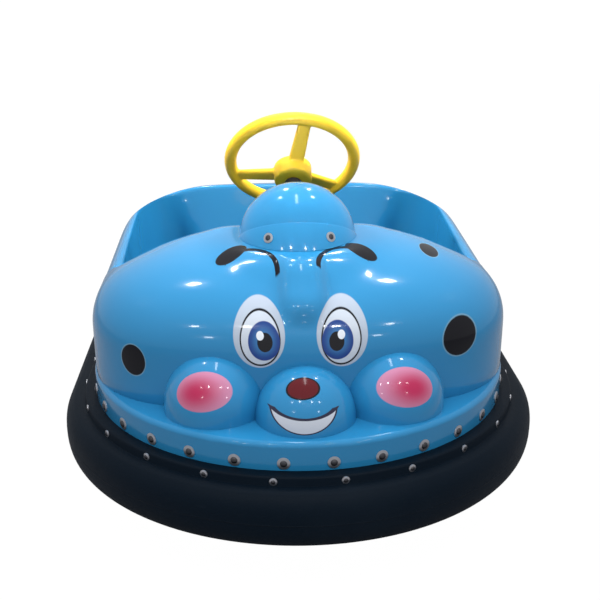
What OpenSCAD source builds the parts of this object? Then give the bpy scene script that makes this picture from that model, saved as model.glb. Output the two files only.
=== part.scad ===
// Two-seat fairground bumper car with a moulded animal face: a fibreglass body on a steel
// chassis, ringed by a rubber bumper, driven and steered by one swivelling wheel at the front.
// The nose points along -Y, the ground is z = 0 and the origin is under the middle of the car.

/* [Plan] */
// Radius of the rounded ends, and half the width over the skirt
skirt_radius = 490; // [480:2:500]
// Half length of the straight sides
straight_half = 203; // [195:1:225]
// How far the rubber stands out beyond the skirt
bumper_out = 78; // [72:1:86]

/* [Heights] */
// Lower edge of the rubber ring
bumper_bottom_z = 140; // [134:1:146]
// Lower edge of the skirt, where it meets the rubber
skirt_bottom_z = 291; // [286:1:300]
// Top of the ledge that the body stands on
ledge_z = 353; // [345:1:360]
// Top of the floor rails
rail_top_z = 172; // [168:1:176]
// Height to which the body wall is upright
wall_top_z = 462; // [455:1:475]
// Top of the bonnet at the cockpit
bonnet_z = 650; // [640:1:660]
// Height of the cockpit rim beside the bonnet
sill_z = 548; // [540:1:555]
// Height of the cockpit rim behind the seat
back_z = 598; // [590:1:610]

/* [Body shell] */
// Width of the ledge beside the body
ledge_side = 10; // [8:1:14]
// Width of the ledge ahead of the bonnet
ledge_front = 143; // [137:1:150]
// Radius of the bonnet's front wall
front_radius = 960; // [900:10:1100]
// Radius of the bonnet's front corners
corner_radius = 250; // [230:5:260]
// Fibreglass thickness
skin = 7; // [5:0.5:8]
// Lengthwise place of the bonnet's rear edge
bonnet_edge_y = -130; // [-140:2:-120]
// How far the bonnet's rear edge stands inside the body's foot, at the side
arch_inset = 63; // [57:1:70]
// How far the cockpit rim stands inside the body's foot, at the side
rim_inset = 44; // [40:1:50]

/* [Face] */
// Radius of the two cheek domes
cheek_radius = 110; // [104:1:112]
// Sideways place of the cheek domes
cheek_x = 193; // [188:1:196]
// Radius of the muzzle dome
muzzle_radius = 109; // [104:1:112]
// Upright foot of the cheek domes
cheek_foot = 15; // [10:1:18]
// Height of the ridge between the eyes
bridge_rise = 24; // [14:1:30]

/* [Cowl] */
// Radius of the steering cowl's dome
cowl_radius = 134; // [128:1:138]
// How far the collar stands out beyond the dome
collar_step = 7; // [5:1:9]
// Lean of the cowl towards the driver
cowl_lean = 31; // [26:1:36]

/* [Steering] */
// Outer diameter of the steering wheel
wheel_diameter = 346; // [330:2:360]
// Thickness of the steering wheel's rim
rim_thickness = 32; // [26:1:34]
// Diameter of the steering wheel's hub
hub_diameter = 97; // [90:1:104]
// Lean of the steering column from the vertical
column_lean = 51.6; // [50.5:0.1:52.5]
// Diameter of the steering column's tube
column_d = 42; // [38:1:46]
// Turn of the spokes at rest, clockwise as the driver sees them
spoke_turn = 11; // [0:1:40]

/* [Wheels] */
// Diameter of the rear tyres
rear_tyre_d = 200; // [190:2:206]
// Width of the rear tyres
rear_tyre_w = 50; // [42:1:56]
// Sideways place of the rear wheels
rear_wheel_x = 330; // [322:2:340]
// Diameter of the driven tyre
drive_tyre_d = 220; // [210:2:224]
// Width of the driven tyre
drive_tyre_w = 60; // [52:1:64]

/* [Hidden] */
$fn = 96;

blue = [0.20, 0.62, 0.88];
black = [0.07, 0.07, 0.08];
steel = [0.55, 0.56, 0.58];
yellow = [0.93, 0.77, 0.16];
dark = [0.2, 0.2, 0.22];

gap = 0.3;            // between faces that only rest against each other
run_gap = 0.5;        // round a turning shaft
end_y = straight_half + skirt_radius;

// Plan outline: straight sides and half-round ends

// Half width of the outline at a distance y along the car, moved in by u
function outline_x(y, u) =
    let (d = max(0, abs(y) - straight_half))
    sqrt(max(0, pow(skirt_radius - u, 2) - d * d));

// Sweeps a profile, drawn as offset from the skirt line and height, round the whole outline
module round_outline() {
    for (end = [0, 1])
        mirror([0, end, 0])
            translate([0, -straight_half, 0])
                rotate([0, 0, 180])
                    rotate_extrude(angle = 180)
                        translate([skirt_radius, 0])
                            children();
    for (side = [0, 1])
        mirror([side, 0, 0])
            translate([skirt_radius, straight_half, 0])
                rotate([90, 0, 0])
                    linear_extrude(2 * straight_half)
                        children();
}

// The outline as a flat shape, moved in by u
module outline_plan(u) {
    for (side = [-1, 1])
        translate([0, side * straight_half])
            circle(skirt_radius - u);
    square([2 * (skirt_radius - u), 2 * straight_half], center = true);
}

// Rubber ring, and the steel band that it is bolted to

band_in = skin + gap;              // outer face of the band, inside the skirt
band_thick = 6;
lip_w = 27;                        // flat lip of the rubber, below the skirt
groove_w = 9;                      // between the lip and the bulge
groove_depth = 20;
bulge_top_z = skirt_bottom_z - 15;
bulge_in = 20;                     // offset of the middle of the bulge
bulge_bow = 2.5;                   // how square the bulge is

module tyre_profile() {
    lip_z = skirt_bottom_z - gap;
    half = [bumper_out - bulge_in, (bulge_top_z - bumper_bottom_z) / 2];
    mid_z = (bulge_top_z + bumper_bottom_z) / 2;
    polygon(concat(
        [[-band_in + gap, lip_z], [lip_w - 3, lip_z], [lip_w, lip_z - 3],
            [lip_w + 2, lip_z - groove_depth], [lip_w + groove_w, lip_z - groove_depth]],
        [for (a = [60:-7.5:-90])
            [bulge_in + half[0] * pow(cos(a), 2 / bulge_bow),
                mid_z + half[1] * sign(sin(a)) * pow(abs(sin(a)), 2 / bulge_bow)]],
        [[-band_in + gap, bumper_bottom_z]]));
}

module bumper_tyre() {
    color(black)
        round_outline()
            tyre_profile();
}

module bumper_band() {
    bottom = bumper_bottom_z + 8;
    color(steel)
        round_outline()
            translate([-band_in - band_thick, bottom])
                square([band_thick, ledge_z - skin - gap - bottom]);
}

// Body shell. Each station of the plan has a foot on the ledge and a point on the rim above.

body_half_w = skirt_radius - ledge_side;
arch_half_w = body_half_w - arch_inset;
bonnet_front_y = -end_y + ledge_front;
front_centre_y = bonnet_front_y + front_radius;
corner_x = body_half_w - corner_radius;
corner_y = front_centre_y - sqrt(pow(front_radius - corner_radius, 2) - corner_x * corner_x);
front_sweep = asin(corner_x / (front_radius - corner_radius));
front_len = front_radius * front_sweep * PI / 180;
corner_len = corner_radius * (90 - front_sweep) * PI / 180;
bonnet_len = front_len + corner_len + bonnet_edge_y - corner_y;   // from the nose to the rear edge

shoulder_bow = 2.3;                // how square the bonnet's shoulder is
arch_drop = bonnet_z - sill_z - 7; // fall of the bonnet's rear edge from middle to side
bridge_w = 52;                     // half width of the ridge
bridge_foot = 0.44;                // share of the shoulder's height at the ridge's lower end
bridge_full = 0.66;                // share at which the ridge has its whole height
cowl_centre = [0, bonnet_edge_y - 70, bonnet_z - 15];
collar_r = cowl_radius + collar_step;
// Half sizes of the round flat pad that the cowl stands on
pad_half = [collar_r + 5, collar_r / cos(cowl_lean) + 5];
pad_y = cowl_centre[1] + 9;        // middle of the pad
pad_blend = 0.6;                   // width of the slope round the pad, as a share of its size

function smooth(e0, e1, x) =
    let (t = min(1, max(0, (x - e0) / (e1 - e0)))) t * t * (3 - 2 * t);

// Foot of the bonnet at a length s along the plan from the nose
function bonnet_foot(s) =
    let (l = abs(s), side = s < 0 ? -1 : 1,
        a = l <= front_len ? l / front_radius * 180 / PI
            : front_sweep + (l - front_len) / corner_radius * 180 / PI)
    l <= front_len ? [side * front_radius * sin(a), front_centre_y - front_radius * cos(a)]
    : l <= front_len + corner_len
        ? [side * (corner_x + corner_radius * sin(a)), corner_y - corner_radius * cos(a)]
    : [side * body_half_w, corner_y + l - front_len - corner_len];
function bonnet_rim(s) =
    let (x = sign(s) * arch_half_w * (1 - pow(1 - abs(s) / bonnet_len, 1.5)))
    [x, bonnet_edge_y, bonnet_z - arch_drop * pow(abs(x) / arch_half_w, 3)];

// The rest of the bonnet's surface, by station and by angle up the shoulder
pad_front_y = pad_y - pad_half[1];
function with_pad(p, inset) =
    let (d = norm([p[0] / pad_half[0], min(0, p[1] - pad_y) / pad_half[1]]))
    [p[0], p[1], p[2] + (bonnet_z - inset - p[2]) * (1 - smooth(1, 1 + pad_blend, d))];
function with_bridge(p, s, share) =
    let (d = pow(s / bridge_w, 2)
            + pow(max(0, bridge_full - share) / (bridge_full - bridge_foot), 2),
        fade = 1 - smooth(pad_front_y - 44, pad_front_y - 22, p[1]))
    d >= 1 ? p : p + bridge_rise * sqrt(1 - d) * fade * [0, -0.66, 0.75];
function bonnet_point(s, level, inset) =
    let (foot = bonnet_foot(s), rim = bonnet_rim(s), run = [rim[0], rim[1]] - foot,
        f = foot + run / norm(run) * inset,
        share = level < 0 ? 0 : pow(sin(level), 2 / shoulder_bow),
        along = level < 0 ? 0 : 1 - pow(cos(level), 2 / shoulder_bow),
        flat = f + ([rim[0], rim[1]] - f) * along,
        z = level < 0 ? ledge_z + gap + (wall_top_z - ledge_z - gap) * (1 + level)
            : wall_top_z + (rim[2] - inset - wall_top_z) * share)
    with_bridge(with_pad([flat[0], flat[1], z], inset), s, share);

bonnet_stations = let (fine = 8, wide = 64, steps = 23) concat(
    [for (k = [-steps:-1]) -wide + (bonnet_len - wide) * k / steps],
    [for (s = [-wide:fine:wide]) s],
    [for (k = [1:steps]) wide + (bonnet_len - wide) * k / steps]);
bonnet_levels = concat([-1, -0.5], [for (a = [0:4.5:90]) a]);

// A closed shell from two grids of points and strips that join their four edges
module shell(outer, inner) {
    n = len(outer);
    m = len(outer[0]);
    o = n * m;
    function at(i, j) = i * m + j;
    polyhedron(
        points = concat([for (row = outer) each row], [for (row = inner) each row]),
        faces = concat(
            [for (i = [0:n - 2]) for (j = [0:m - 2]) each [
                [at(i, j), at(i, j + 1), at(i + 1, j + 1)], [at(i, j), at(i + 1, j + 1), at(i + 1, j)],
                [o + at(i, j), o + at(i + 1, j + 1), o + at(i, j + 1)],
                [o + at(i, j), o + at(i + 1, j), o + at(i + 1, j + 1)]]],
            [for (i = [0:n - 2]) each [
                [at(i, 0), at(i + 1, 0), o + at(i + 1, 0)], [at(i, 0), o + at(i + 1, 0), o + at(i, 0)],
                [at(i, m - 1), o + at(i + 1, m - 1), at(i + 1, m - 1)],
                [at(i, m - 1), o + at(i, m - 1), o + at(i + 1, m - 1)]]],
            [for (j = [0:m - 2]) each [
                [at(0, j), o + at(0, j), o + at(0, j + 1)], [at(0, j), o + at(0, j + 1), at(0, j + 1)],
                [at(n - 1, j), o + at(n - 1, j + 1), o + at(n - 1, j)],
                [at(n - 1, j), at(n - 1, j + 1), o + at(n - 1, j + 1)]]]));
}

module bonnet() {
    color(blue)
        shell(
            [for (s = bonnet_stations) [for (level = bonnet_levels) bonnet_point(s, level, 0)]],
            [for (s = bonnet_stations) [for (level = bonnet_levels) bonnet_point(s, level, skin)]]);
}

// Rear moulding: outer wall, rolled rim and the inner wall that is the seat's back

rim_half_w = body_half_w - rim_inset;
rim_back_inset = 180;              // from the skirt's rear end to the rim
rim_back_y = end_y - rim_back_inset;
rim_corner = 180;
roll = 12;                         // radius of the rolled rim
rear_bow = 1.95;                   // how square the rear shoulder is
side_lean = 8;                     // how far the inner wall's foot stands in from the rim
back_lean = 78;

// Stations: [foot x, foot y, rim x, rim y, rim z, lean of the inner wall]
function rear_side_station(side, k) =
    let (y = bonnet_edge_y + gap + (straight_half - bonnet_edge_y - gap) * k,
        rim_y = bonnet_edge_y + gap + (rim_back_y - rim_corner - bonnet_edge_y - gap) * k)
    [side * body_half_w, y, side * rim_half_w, rim_y, sill_z + 14 * k, side_lean];
function rear_end_station(a) =
    let (u = abs(a) / 90, turn = smooth(0.08, 0.72, 1 - u),
        inner_x = rim_half_w - rim_corner,
        rim = u > 0.38
            ? [inner_x + rim_corner * sin(90 * (u - 0.38) / 0.62),
                rim_back_y - rim_corner * (1 - cos(90 * (u - 0.38) / 0.62))]
            : [inner_x * u / 0.38, rim_back_y])
    [body_half_w * sin(a), straight_half + body_half_w * cos(a), sign(a) * rim[0], rim[1],
        sill_z + 14 + (back_z - sill_z - 14) * turn, side_lean + (back_lean - side_lean) * turn];
rear_stations = let (steps = 7) concat(
    [for (k = [0:steps - 1]) rear_side_station(1, k / steps)],
    [for (a = [90:-5:-90]) rear_end_station(a)],
    [for (k = [steps - 1:-1:0]) rear_side_station(-1, k / steps)]);

// Profile across the moulding, as distance in from the foot and height
function rear_profile(reach, rim_z, lean, inset) = concat(
    [[inset, ledge_z + gap], [inset, (ledge_z + wall_top_z) / 2]],
    [for (a = [0:10:90])
        [inset + (reach - inset) * (1 - pow(cos(a), 2 / rear_bow)),
            wall_top_z + (rim_z - inset - wall_top_z) * pow(sin(a), 2 / rear_bow)]],
    [for (b = [30:30:90])
        [reach + (roll - inset) * sin(b), rim_z - roll + (roll - inset) * cos(b)]],
    [for (k = [1:3])
        [reach + roll - inset + lean * k / 3,
            rim_z - roll - (rim_z - roll - ledge_z - gap) * k / 3]]);
function rear_points(s, inset) =
    let (foot = [s[0], s[1]], run = [s[2], s[3]] - foot, dir = run / norm(run))
    [for (p = rear_profile(norm(run), s[4], s[5], inset))
        let (q = foot + dir * p[0]) [q[0], q[1], p[1]]];

module rear_shell() {
    color(blue)
        shell([for (s = rear_stations) rear_points(s, 0)], [for (s = rear_stations) rear_points(s, skin)]);
}

// Domes of the face: half balls on an upright foot, which run into the bonnet's front wall

cheek_y = bonnet_front_y + 38;
muzzle_y = bonnet_front_y - 13;

module face_dome(x, y, r, foot) {
    difference() {
        translate([x, y, ledge_z + gap])
            rotate_extrude()
                polygon(concat(
                    [[0, 0], [r, 0]],
                    [for (a = [0:6:90]) [r * cos(a), foot + r * sin(a)]]));
        translate([0, front_centre_y, ledge_z - 1])
            cylinder(h = r + foot + 2, r = front_radius + gap, $fn = 360);
    }
}

module cheek(side) {
    color(blue)
        difference() {
            face_dome(side * cheek_x, cheek_y, cheek_radius, cheek_foot);
            translate([0, muzzle_y, ledge_z + gap])
                sphere(muzzle_radius + gap);
        }
}

module muzzle() {
    color(blue)
        face_dome(0, muzzle_y, muzzle_radius, 0);
}

// Skirt with the flat ledge, open under the bonnet and at the cockpit

well_half_w = rim_half_w - roll - side_lean - 16;
well_front_y = -189;
well_back_y = rim_back_y - roll - back_lean - 4;
ledge_round = 12;
ledge_margin = 24;                 // ledge left inside the bonnet's foot

module skirt_deck() {
    color(blue)
        difference() {
            union() {
                round_outline()
                    polygon(concat(
                        [[-skin, skirt_bottom_z], [0, skirt_bottom_z]],
                        [for (a = [0:15:90])
                            [ledge_round * (cos(a) - 1), ledge_z + ledge_round * (sin(a) - 1)]],
                        [[-60, ledge_z], [-60, ledge_z - skin], [-skin, ledge_z - skin]]));
                translate([0, 0, ledge_z - skin])
                    linear_extrude(skin)
                        outline_plan(55);
            }
            translate([0, 0, ledge_z - skin - 1])
                linear_extrude(skin + 2) {
                    translate([-well_half_w, well_front_y - 100])
                        square([2 * well_half_w, well_back_y - well_front_y + 100]);
                    translate([0, front_centre_y])
                        intersection() {
                            circle(front_radius - ledge_margin, $fn = 360);
                            translate([-well_half_w, -front_radius])
                                square([2 * well_half_w, front_radius - front_centre_y + well_front_y]);
                            translate([0, corner_y - front_centre_y])
                                circle(well_half_w + 20);
                        }
                }
        }
}

// Cockpit well: front and side walls, seat box and cushion

floor_thick = 4;
floor_z = rail_top_z + floor_thick;
bench_front_y = 130;
bench_z = ledge_z - skin - gap;

column_centre = [0, 70, 761];      // middle of the steering wheel
column_r = column_d / 2;

// Turns +Z onto the steering axis, with its origin at the middle of the wheel
module on_steering_axis() {
    translate(column_centre)
        rotate([-column_lean, 0, 0])
            children();
}

module footwell() {
    wall = 6;
    top = bonnet_z - 45;
    shoulder = [well_half_w - 70, sill_z - 48];
    neck = [75, bonnet_z - 90];
    half = [[well_half_w, floor_z + gap], [well_half_w, bench_z], shoulder, neck, [60, top]];
    plate = concat(half, [for (k = [len(half) - 1:-1:0]) [-half[k][0], half[k][1]]]);
    color(blue)
        difference() {
            union() {
                translate([0, well_front_y + wall, 0])
                    rotate([90, 0, 0])
                        linear_extrude(wall)
                            polygon(plate);
                for (side = [-1, 1])
                    translate([side * (well_half_w - wall / 2) - wall / 2, well_front_y, floor_z + gap])
                        cube([wall, bench_front_y - well_front_y - gap, bench_z - floor_z - gap]);
            }
            on_steering_axis()
                translate([0, 0, -axis_len])
                    cylinder(h = axis_len, r = column_r + gap);
        }
}

module seat_base() {
    half = well_half_w + 12;
    color(blue)
        difference() {
            translate([-half, bench_front_y, floor_z + gap])
                cube([2 * half, well_back_y + 14 - bench_front_y, bench_z - floor_z - gap]);
            translate([-half + skin, bench_front_y + skin, floor_z - 1])
                cube([2 * (half - skin), well_back_y + 14 - bench_front_y, bench_z - floor_z - skin + 1]);
        }
}

cushion_t = 62;
cushion_side = 15;                 // from the cushion to the side wall
cushion_front = 12;                // from the bench's front edge to the cushion
cushion_back = 22;                 // from the cushion to the seat's back

module seat_cushion() {
    size = [2 * (well_half_w - cushion_side), well_back_y - bench_front_y - cushion_front - cushion_back,
        cushion_t];
    r = 26;
    color(dark)
        translate([-size[0] / 2, bench_front_y + cushion_front, bench_z + gap])
            hull()
                for (x = [r, size[0] - r])
                    for (y = [r, size[1] - r])
                        for (z = [r, size[2] - r])
                            translate([x, y, z])
                                sphere(r, $fn = 24);
}

// Steering cowl: a leaning dome on a collar, which covers the middle of the bonnet's rear edge

cowl_drop = 60;                    // how far it reaches below the bonnet, in the cockpit

// Wall of the cowl, turned about its own axis: the dome's arc and the collar below it
module cowl_wall() {
    step = 6;
    collar_h = 2 * cowl_radius;
    polygon(concat(
        [for (a = [0:step:90]) cowl_radius * [cos(a), sin(a)]],
        [for (a = [90:-step:0]) (cowl_radius - skin) * [cos(a), sin(a)]],
        [[cowl_radius - skin, -skin], [collar_r - skin, -skin], [collar_r - skin, -collar_h],
            [collar_r, -collar_h], [collar_r, -4], [collar_r - 4, 0]]));
}

module steering_cowl() {
    reach = 3 * cowl_radius;
    color(blue)
        difference() {
            translate(cowl_centre)
                rotate([-cowl_lean, 0, 0])
                    rotate_extrude()
                        cowl_wall();
            translate([-reach, bonnet_edge_y + gap - 2 * reach, bonnet_z + gap - reach])
                cube([2 * reach, 2 * reach, reach]);
            translate([-reach, -reach, bonnet_z - cowl_drop - reach])
                cube([2 * reach, 2 * reach, reach]);
            on_steering_axis()
                translate([0, 0, -reach])
                    cylinder(h = reach, r = column_r + gap);
        }
}

// Steering wheel, shaft and column

wheel_r = (wheel_diameter - rim_thickness) / 2;
dish = 42;                         // how far the hub sits ahead of the rim
hub_len = 44;
spoke_w = 41;
spoke_t = 17;
shaft_r = 11;
king_y = -330;
// Length of the steering axis from the wheel to the upright axis of the drive unit
axis_len = (column_centre[1] - king_y) / sin(column_lean);
joint_z = column_centre[2] - axis_len * cos(column_lean);
joint_r = 22;
tube_top = 64 + 6;                 // along the axis from the wheel

module steering_wheel() {
    slope = atan(dish / wheel_r);
    color(yellow)
        on_steering_axis()
            rotate([0, 0, spoke_turn])
                union() {
                    rotate_extrude()
                        translate([wheel_r, 0])
                            circle(rim_thickness / 2);
                    translate([0, 0, -dish - hub_len / 2])
                        cylinder(h = hub_len, r = hub_diameter / 2);
                    for (k = [0:2])
                        rotate([0, 0, -90 + 120 * k])
                            translate([0, 0, -dish])
                                rotate([0, -slope, 0])
                                    translate([20, -spoke_w / 2, -spoke_t / 2])
                                        cube([norm([wheel_r, dish]) - 20 - 4, spoke_w, spoke_t]);
                }
}

module steering_shaft() {
    top = dish + hub_len / 2 + gap;
    end = axis_len - joint_r - 6;
    color(steel)
        on_steering_axis()
            translate([0, 0, -end])
                cylinder(h = end - top, r = shaft_r);
}

module column_tube() {
    bottom = axis_len - joint_r - 24;
    color(dark)
        on_steering_axis()
            translate([0, 0, -bottom])
                difference() {
                    cylinder(h = bottom - tube_top, r = column_r);
                    translate([0, 0, -1])
                        cylinder(h = bottom - tube_top + 2, r = shaft_r + run_gap);
                }
}

// Pedal on its foot, on the floor to the right of the column

mat_t = 3;
pedal_x = -100;
pedal_y = -120;

module pedal() {
    foot = [60, 60, 14];
    plate = [76, 110, 9];
    color(dark)
        translate([pedal_x, pedal_y, floor_z + mat_t + 2 * gap])
            union() {
                translate([-foot[0] / 2, -foot[1] / 2, 0])
                    cube(foot);
                translate([0, 6, foot[2] - 4])
                    rotate([-58, 0, 0])
                        translate([-plate[0] / 2, 8 - plate[1], 0])
                            cube(plate);
            }
}

// Steel chassis

rail_x = 235;
rail_w = 40;
rail_h = 40;
frame_inset = 140;                 // from the skirt's ends to the last cross members
cross_y = [frame_inset - end_y, -150, 270, end_y - frame_inset];
bolt_y = 500;                      // bolt holes through the rails, for a transport or lifting frame
bolt_r = 5.5;

module chassis_frame() {
    inner = band_in + band_thick + gap;
    color(steel)
        difference() {
            union() {
                for (side = [-1, 1])
                    translate([side * rail_x - rail_w / 2, cross_y[0] - rail_w / 2, rail_top_z - rail_h])
                        cube([rail_w, cross_y[3] - cross_y[0] + rail_w, rail_h]);
                for (y = cross_y) {
                    reach = min(outline_x(y - rail_w / 2, inner), outline_x(y + rail_w / 2, inner));
                    translate([-reach, y - rail_w / 2, rail_top_z - rail_h])
                        cube([2 * reach, rail_w, rail_h]);
                }
            }
            for (side = [-1, 1])
                for (end = [-1, 1])
                    translate([side * rail_x, end * bolt_y, rail_top_z - rail_h - 1])
                        cylinder(h = rail_h + 2, r = bolt_r);
        }
}

floor_front_y = well_front_y - 2;
floor_back_y = cross_y[2] + rail_w / 2;

module floor_pan() {
    half = well_half_w + 20;
    color(steel)
        translate([-half, floor_front_y, rail_top_z + gap])
            cube([2 * half, floor_back_y - floor_front_y, floor_thick - gap]);
}

module floor_mat() {
    half = well_half_w - 12;
    color(black)
        translate([-half, well_front_y + 12, floor_z + gap])
            cube([2 * half, bench_front_y - well_front_y - 18, mat_t]);
}

battery_size = [220, 172, 150];
battery_x = 118;
battery_y = bench_front_y + skin + 4;
tray_t = 4;

module battery_tray() {
    color(steel)
        translate([-battery_x - battery_size[0] / 2 - 10, battery_y, floor_z + gap])
            cube([2 * battery_x + battery_size[0] + 20, battery_size[1] + 20, tray_t]);
}

module battery(side) {
    color(black)
        translate([side * battery_x - battery_size[0] / 2, battery_y + 10, floor_z + tray_t + 2 * gap])
            cube(battery_size);
}

// Drive unit: it swivels in a plate across the rails and holds the driven wheel

mount_z = drive_tyre_d + 42;
mount_t = 8;
king_r = 30;
fork_gap = drive_tyre_w / 2 + 8;
fork_t = 10;
drive_axle_r = 12;
rim_step = 45;                     // from the tyre's tread to its rim

module drive_mount() {
    color(steel)
        difference() {
            union() {
                translate([-rail_x - rail_w / 2, king_y - 60, mount_z])
                    cube([2 * rail_x + rail_w, 120, mount_t]);
                for (side = [-1, 1])
                    translate([side * rail_x - rail_w / 2, king_y - 60, rail_top_z + gap])
                        cube([rail_w, 120, mount_z - rail_top_z]);
            }
            translate([0, king_y, mount_z - 20])
                cylinder(h = 60, r = king_r + run_gap);
        }
}

module drive_fork() {
    crown_z = mount_z - 14;
    color(steel)
        translate([0, king_y, 0])
            difference() {
                union() {
                    translate([0, 0, crown_z + 2])
                        cylinder(h = mount_z + mount_t + 20 - crown_z, r = king_r);
                    translate([0, 0, crown_z])
                        cylinder(h = 9, r = 90);
                    translate([0, 0, crown_z + 4])
                        cylinder(h = joint_z - crown_z - 4, r = 14);
                    translate([0, 0, joint_z])
                        sphere(joint_r);
                    for (side = [-1, 1])
                        translate([side * (fork_gap + fork_t / 2) - fork_t / 2, -30, drive_tyre_d / 2 - 30])
                            cube([fork_t, 60, crown_z + 3 - drive_tyre_d / 2 + 30]);
                }
                translate([-100, 0, drive_tyre_d / 2])
                    rotate([0, 90, 0])
                        cylinder(h = 200, r = drive_axle_r + run_gap);
            }
}

module drive_motor() {
    color(dark)
        translate([fork_gap + fork_t + gap, king_y, drive_tyre_d / 2])
            rotate([0, 90, 0])
                cylinder(h = 74, r = 52);
}

// Tyre with rounded shoulders, turned about Z
module tyre(r, bore, w) {
    shoulder = 8;
    rotate_extrude()
        polygon(concat(
            [[bore, -w / 2]],
            [for (a = [-90:30:0]) [r - shoulder * (1 - cos(a)), -w / 2 + shoulder * (1 + sin(a))]],
            [for (a = [0:30:90]) [r - shoulder * (1 - cos(a)), w / 2 - shoulder * (1 - sin(a))]],
            [[bore, w / 2]]));
}

module drive_hub() {
    color(steel)
        translate([0, king_y, drive_tyre_d / 2])
            rotate([0, 90, 0])
                union() {
                    cylinder(h = drive_tyre_w - 8, r = drive_tyre_d / 2 - rim_step, center = true);
                    cylinder(h = 2 * (fork_gap + fork_t) - 2, r = drive_axle_r, center = true);
                }
}

module drive_tyre() {
    color(black)
        translate([0, king_y, drive_tyre_d / 2])
            rotate([0, 90, 0])
                tyre(drive_tyre_d / 2, drive_tyre_d / 2 - rim_step + gap, drive_tyre_w);
}

// Rear wheels on stub axles below the rails

rear_wheel_y = 420;
rear_rim_step = 40;
stub_r = 10;

module rear_axle(side) {
    bracket_w = 26;
    axle_z = rear_tyre_d / 2;
    color(steel)
        union() {
            translate([side * rail_x - bracket_w / 2, rear_wheel_y - 30, axle_z - 18])
                cube([bracket_w, 60, rail_top_z - rail_h - gap - axle_z + 18]);
            translate([side * rail_x, rear_wheel_y, axle_z])
                rotate([0, side * 90, 0])
                    cylinder(h = rear_wheel_x - rail_x + rear_tyre_w / 2 + 8, r = stub_r);
            translate([side * (rear_wheel_x + rear_tyre_w / 2 + 4), rear_wheel_y, axle_z])
                rotate([0, side * 90, 0])
                    cylinder(h = 10, r = stub_r + 7);
        }
}

module rear_hub(side) {
    color(steel)
        translate([side * rear_wheel_x, rear_wheel_y, rear_tyre_d / 2])
            rotate([0, 90, 0])
                difference() {
                    cylinder(h = rear_tyre_w - 6, r = rear_tyre_d / 2 - rear_rim_step, center = true);
                    cylinder(h = rear_tyre_w + 4, r = stub_r + run_gap, center = true);
                }
}

module rear_tyre(side) {
    color(black)
        translate([side * rear_wheel_x, rear_wheel_y, rear_tyre_d / 2])
            rotate([0, 90, 0])
                tyre(rear_tyre_d / 2, rear_tyre_d / 2 - rear_rim_step + gap, rear_tyre_w);
}

bumper_tyre();
bumper_band();
skirt_deck();
bonnet();
cheek(1);  // cheek_left
cheek(-1);  // cheek_right
muzzle();
rear_shell();
footwell();
seat_base();
seat_cushion();
steering_cowl();
column_tube();
steering_wheel();
steering_shaft();
pedal();
chassis_frame();
floor_pan();
floor_mat();
battery(1);  // battery_left
battery(-1);  // battery_right
battery_tray();
drive_mount();
drive_fork();
drive_motor();
drive_hub();
drive_tyre();
rear_axle(1);  // rear_axle_left
rear_axle(-1);  // rear_axle_right
rear_hub(1);  // rear_hub_left
rear_hub(-1);  // rear_hub_right
rear_tyre(1);  // rear_tyre_left
rear_tyre(-1);  // rear_tyre_right
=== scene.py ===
import math
import bmesh
import bpy
from mathutils.bvhtree import BVHTree
from mathutils import Matrix, Vector


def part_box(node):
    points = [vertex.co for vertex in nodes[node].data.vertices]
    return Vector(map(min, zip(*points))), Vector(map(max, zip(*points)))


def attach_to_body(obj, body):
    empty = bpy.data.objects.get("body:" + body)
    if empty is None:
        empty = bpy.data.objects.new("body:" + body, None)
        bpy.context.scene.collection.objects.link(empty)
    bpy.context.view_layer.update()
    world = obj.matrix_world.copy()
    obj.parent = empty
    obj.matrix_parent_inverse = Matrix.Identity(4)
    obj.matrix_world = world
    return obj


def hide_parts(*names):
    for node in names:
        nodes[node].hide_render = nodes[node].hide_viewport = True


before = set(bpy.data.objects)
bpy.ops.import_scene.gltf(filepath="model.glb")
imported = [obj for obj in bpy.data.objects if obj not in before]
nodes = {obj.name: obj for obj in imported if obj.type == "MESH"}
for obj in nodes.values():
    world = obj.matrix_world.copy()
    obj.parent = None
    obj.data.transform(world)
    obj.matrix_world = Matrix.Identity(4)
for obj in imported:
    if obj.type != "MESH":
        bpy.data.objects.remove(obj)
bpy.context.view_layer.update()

# Camera, at the photograph's viewing angle

aim = Vector((0, -0.23, 0.35))
camera_distance = 2.43
camera_elevation = math.radians(22.9)
camera_azimuth = math.radians(-2.5)
camera_roll = math.radians(-0.3)
aim_px = (298.4, 355.3)
frame_px = 600

camera_data = bpy.data.cameras.new("camera")
camera = bpy.data.objects.new("camera", camera_data)
bpy.context.scene.collection.objects.link(camera)
bpy.context.scene.camera = camera
camera_data.sensor_width = 36
camera_data.lens = 60
camera_data.shift_x = (frame_px / 2 - aim_px[0]) / frame_px
camera_data.shift_y = (aim_px[1] - frame_px / 2) / frame_px
back = Vector((math.sin(camera_azimuth) * math.cos(camera_elevation),
               -math.cos(camera_azimuth) * math.cos(camera_elevation), math.sin(camera_elevation)))
camera.location = aim + back * camera_distance
camera.rotation_euler = (back.to_track_quat("Z", "Y").to_matrix()
                         @ Matrix.Rotation(camera_roll, 3, "Z")).to_euler()

# Shader nodes as Python expressions


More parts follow.
